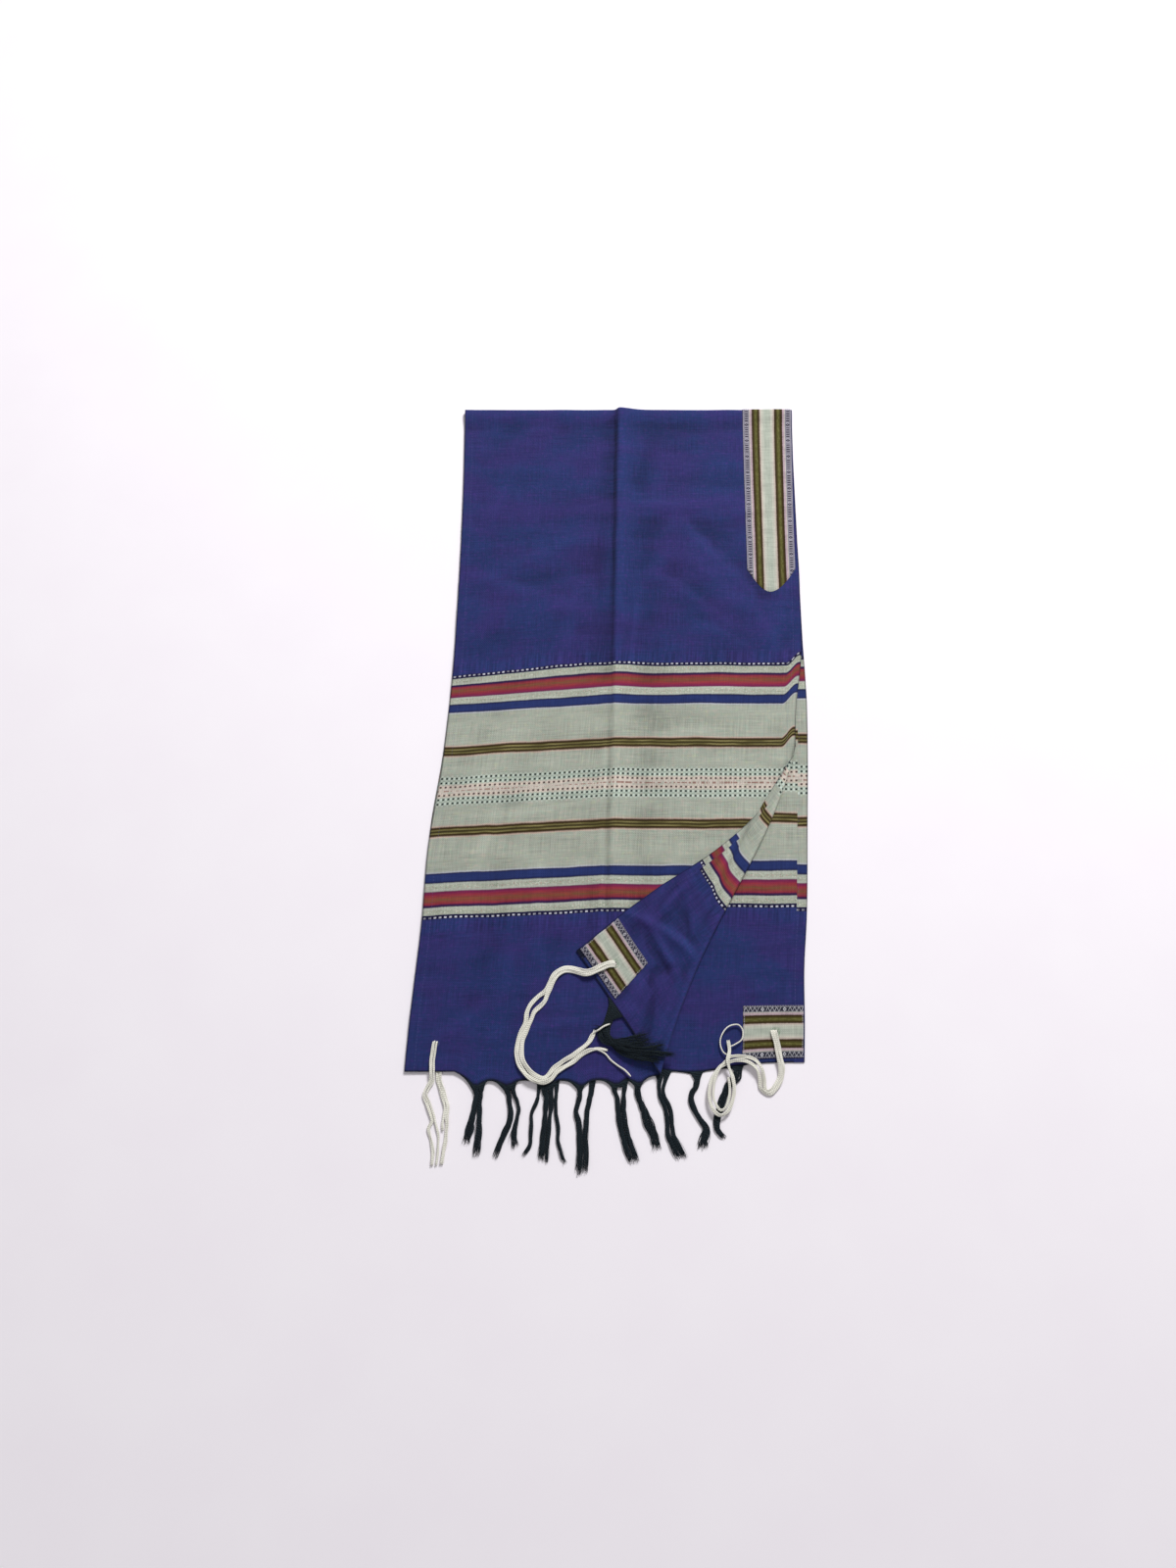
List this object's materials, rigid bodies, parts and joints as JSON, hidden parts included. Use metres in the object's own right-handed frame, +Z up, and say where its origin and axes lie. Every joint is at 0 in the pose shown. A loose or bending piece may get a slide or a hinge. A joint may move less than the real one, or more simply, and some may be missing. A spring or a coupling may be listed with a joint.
{
  "type": "prayer shawl",
  "caption": "Striped prayer shawl folded once and laid flat, one corner turned over, with a neckband, corner patches, twisted fringe and white corner cords.",
  "frame": {"origin": "middle of the underside of the box round the whole part, on the surface it lies on", "axes": "+X across the shawl towards the neck edge, +Y along the shawl from the fringed edge to the far fold, +Z up"},
  "size_m": [0.5012, 1.0338, 0.0125],
  "materials": {
    "woven_cloth": "soft woven, blue-violet ground with grey-green, red, blue and olive stripes",
    "band_cloth": "woven band, grey-white with olive stripes and a small patterned border",
    "fringe_yarn": "twisted dark blue-black yarn",
    "white_cord": "twisted off-white cord"
  },
  "bodies": {
    "root": {"shawl_cloth": "woven_cloth", "neckband": "band_cloth", "corner_patch_right": "band_cloth", "corner_patch_turned": "band_cloth", "fringe_upper": "fringe_yarn", "fringe_lower": "fringe_yarn", "fringe_turned": "fringe_yarn", "corner_cord_left": "white_cord", "corner_cord_under": "white_cord", "corner_cord_turned": "white_cord", "corner_cord_right": "white_cord"}
  },
  "joints": []
}
